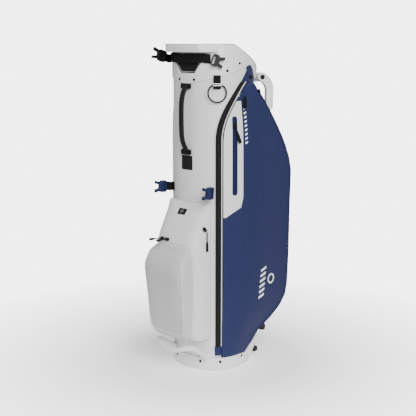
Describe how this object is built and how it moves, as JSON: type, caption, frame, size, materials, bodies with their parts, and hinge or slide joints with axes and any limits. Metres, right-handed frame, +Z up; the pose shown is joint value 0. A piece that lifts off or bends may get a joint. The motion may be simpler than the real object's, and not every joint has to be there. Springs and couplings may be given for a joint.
{
  "type": "golf stand bag",
  "caption": "Upright golf stand bag with folded legs, divided club tube, moulded collar and base, side garment pockets, front pockets, zips and buckles.",
  "frame": {"origin": "on the floor, on the axis of the club tube, which is the centre of the base's flat front sole region", "axes": "+Z up, +X towards the bag's right-hand garment pocket, +Y towards the legs, -Y towards the spine and ball pocket"},
  "size_m": [0.2414, 0.3928, 0.871],
  "materials": {
    "white_fabric": "white coated woven polyester",
    "white_moulded": "white moulded plastic, satin",
    "navy_fabric": "navy ripstop polyester",
    "navy_moulded": "navy moulded buckle plastic",
    "black_webbing": "black woven webbing and zip tape",
    "black_moulded": "black moulded plastic",
    "charcoal_grip": "charcoal soft-touch grip",
    "black_metal": "black painted metal",
    "bright_steel": "bright drawn steel",
    "grey_lining": "grey divider cloth",
    "black_rubber": "black rubber"
  },
  "bodies": {
    "bag": {"accessory_panel": "white_fabric", "apparel_pocket_left": "navy_fabric", "apparel_pocket_right": "navy_fabric", "ball_pocket": "white_fabric", "base_cup": "white_moulded", "base_handle": "white_moulded", "divider_top": "black_moulded", "divider_walls": "grey_lining", "front_panel": "white_fabric", "hip_pad": "black_webbing", "leg_bracket": "white_moulded", "lower_front_pocket": "white_fabric", "main_zip_left": "black_webbing", "main_zip_right": "black_webbing", "mid_strap_left": "black_webbing", "mid_strap_right": "black_webbing", "pivot_screw_left": "black_metal", "pivot_screw_right": "black_metal", "pocket_badge": "black_moulded", "rear_panel": "white_fabric", "rod_guide": "black_moulded", "side_panel_left": "navy_fabric", "side_panel_right": "navy_fabric", "spine_handle": "charcoal_grip", "spine_patch": "charcoal_grip", "stay_rod_left": "black_metal", "stay_rod_right": "black_metal", "strap_plate": "charcoal_grip", "top_collar": "white_moulded", "top_strap": "black_webbing", "towel_loop": "black_webbing", "valuables_zip": "navy_fabric"},
    "leg_right": {"leg_hub_right": "white_moulded", "leg_tube_right": "black_metal", "leg_tip_right": "black_rubber"},
    "leg_left": {"leg_hub_left": "white_moulded", "leg_tube_left": "black_metal", "leg_tip_left": "black_rubber"},
    "push_rod": {"push_rod": "bright_steel", "rod_yoke": "black_moulded"},
    "bow_right": {"bow_wire_right": "bright_steel"},
    "bow_left": {"bow_wire_left": "bright_steel"},
    "foot": {"base_foot": "black_rubber"},
    "towel_ring": {"towel_ring": "black_moulded"},
    "valuables_slider": {"valuables_slider": "black_metal"},
    "valuables_pull": {"valuables_pull": "black_moulded"},
    "ball_slider_left": {"ball_slider_left": "black_metal"},
    "ball_pull_left": {"ball_pull_left": "black_moulded"},
    "ball_slider_right": {"ball_slider_right": "black_metal"},
    "ball_pull_right": {"ball_pull_right": "black_moulded"},
    "lower_slider": {"lower_slider": "black_metal"},
    "lower_pull": {"lower_pull": "black_moulded"},
    "main_pull_right": {"main_pull_right": "black_moulded"},
    "main_pull_left": {"main_pull_left": "black_moulded"},
    "top_buckle_left": {"top_buckle_left": "black_moulded"},
    "top_buckle_right": {"top_buckle_right": "black_moulded"},
    "mid_buckle_left": {"mid_buckle_left": "navy_moulded"},
    "mid_buckle_right": {"mid_buckle_right": "navy_moulded"}
  },
  "joints": [
    {"name": "leg_right_hinge", "type": "hinge", "parent": "bag", "child": "leg_right", "pos_m": [0.053, 0.152, 0.782], "axis": [0.8722, -0.4891, 0], "range_deg": [0, 33]},
    {"name": "leg_left_hinge", "type": "hinge", "parent": "bag", "child": "leg_left", "pos_m": [-0.053, 0.152, 0.782], "axis": [0.8722, 0.4891, 0], "range_deg": [0, 33]},
    {"name": "rod_slide", "type": "slide", "parent": "bag", "child": "push_rod", "axis": [0, 0, 1], "range_m": [0, 0.0318]},
    {"name": "bow_right_hinge", "type": "hinge", "parent": "push_rod", "child": "bow_right", "pos_m": [0.009, 0.128, 0.35], "axis": [-0.8686, 0.4947, 0.0286], "range_deg": [0, 6.2]},
    {"name": "bow_left_hinge", "type": "hinge", "parent": "push_rod", "child": "bow_left", "pos_m": [-0.009, 0.128, 0.35], "axis": [-0.8686, -0.4947, -0.0286], "range_deg": [0, 6.2]},
    {"name": "foot_hinge", "type": "hinge", "parent": "bag", "child": "foot", "pos_m": [0, 0.05, 0.008], "axis": [1, 0, 0], "range_deg": [0, 22.2]},
    {"name": "ring_hinge", "type": "hinge", "parent": "bag", "child": "towel_ring", "pos_m": [0.08422, -0.06007, 0.766], "axis": [-0.5807, -0.8141, 0], "range_deg": [0, 100]},
    {"name": "valuables_slide", "type": "slide", "parent": "bag", "child": "valuables_slider", "axis": [0.0095, -0.0018, -1], "range_m": [0, 0.15]},
    {"name": "valuables_pull_hinge", "type": "hinge", "parent": "valuables_slider", "child": "valuables_pull", "pos_m": [0.11032, -0.01713, 0.6532], "axis": [-0.3157, -0.884, -0.3448], "range_deg": [0, 100]},
    {"name": "ball_left_slide", "type": "slide", "parent": "bag", "child": "ball_slider_left", "axis": [-1, 0, 0], "range_m": [0, 0.012]},
    {"name": "ball_left_pull_hinge", "type": "hinge", "parent": "ball_slider_left", "child": "ball_pull_left", "pos_m": [-0.04, -0.14684, 0.364], "axis": [-0.9487, 0.3162, 0], "range_deg": [0, 100]},
    {"name": "ball_right_slide", "type": "slide", "parent": "bag", "child": "ball_slider_right", "axis": [1, 0, 0], "range_m": [0, 0.07]},
    {"name": "ball_right_pull_hinge", "type": "hinge", "parent": "ball_slider_right", "child": "ball_pull_right", "pos_m": [-0.02, -0.14684, 0.364], "axis": [-0.9945, 0.1047, 0], "range_deg": [0, 100]},
    {"name": "lower_slide", "type": "slide", "parent": "bag", "child": "lower_slider", "axis": [0, 0.6392, -0.769], "range_m": [0, 0.028]},
    {"name": "lower_pull_hinge", "type": "hinge", "parent": "lower_slider", "child": "lower_pull", "pos_m": [0.0776, -0.092, 0.3896], "axis": [0, -1, 0], "range_deg": [0, 110]},
    {"name": "main_right_pull_hinge", "type": "hinge", "parent": "bag", "child": "main_pull_right", "pos_m": [0.11065, 0.01754, 0.738], "axis": [-0.1355, -0.9908, 0], "range_deg": [0, 120]},
    {"name": "main_left_pull_hinge", "type": "hinge", "parent": "bag", "child": "main_pull_left", "pos_m": [-0.11065, 0.01754, 0.738], "axis": [-0.1355, 0.9908, 0], "range_deg": [0, 120]},
    {"name": "top_left_buckle_hinge", "type": "hinge", "parent": "bag", "child": "top_buckle_left", "pos_m": [-0.08669, -0.07732, 0.8362], "axis": [0.0068, 0.3063, 0.9519], "range_deg": [-20, 30]},
    {"name": "top_right_buckle_hinge", "type": "hinge", "parent": "bag", "child": "top_buckle_right", "pos_m": [0.07723, -0.07328, 0.834], "axis": [0.1442, 0.3354, 0.931], "range_deg": [-60, 5]},
    {"name": "mid_right_buckle_hinge", "type": "hinge", "parent": "bag", "child": "mid_buckle_right", "pos_m": [0.0862, -0.07943, 0.492], "axis": [0, 0.0599, 0.9982], "range_deg": [0, 45]},
    {"name": "mid_left_buckle_hinge", "type": "hinge", "parent": "bag", "child": "mid_buckle_left", "pos_m": [-0.0862, -0.07943, 0.492], "axis": [0, -0.0599, -0.9982], "range_deg": [0, 45]}
  ],
  "couplings": [
    {"joint": "leg_left_hinge", "follows": "leg_right_hinge", "ratio": 1},
    {"joint": "rod_slide", "follows": "leg_right_hinge", "m_per_rad": 0.05497},
    {"joint": "bow_right_hinge", "follows": "leg_right_hinge", "ratio": 0.18497},
    {"joint": "bow_left_hinge", "follows": "leg_right_hinge", "ratio": 0.18497},
    {"joint": "foot_hinge", "follows": "leg_right_hinge", "ratio": 0.6697}
  ]
}
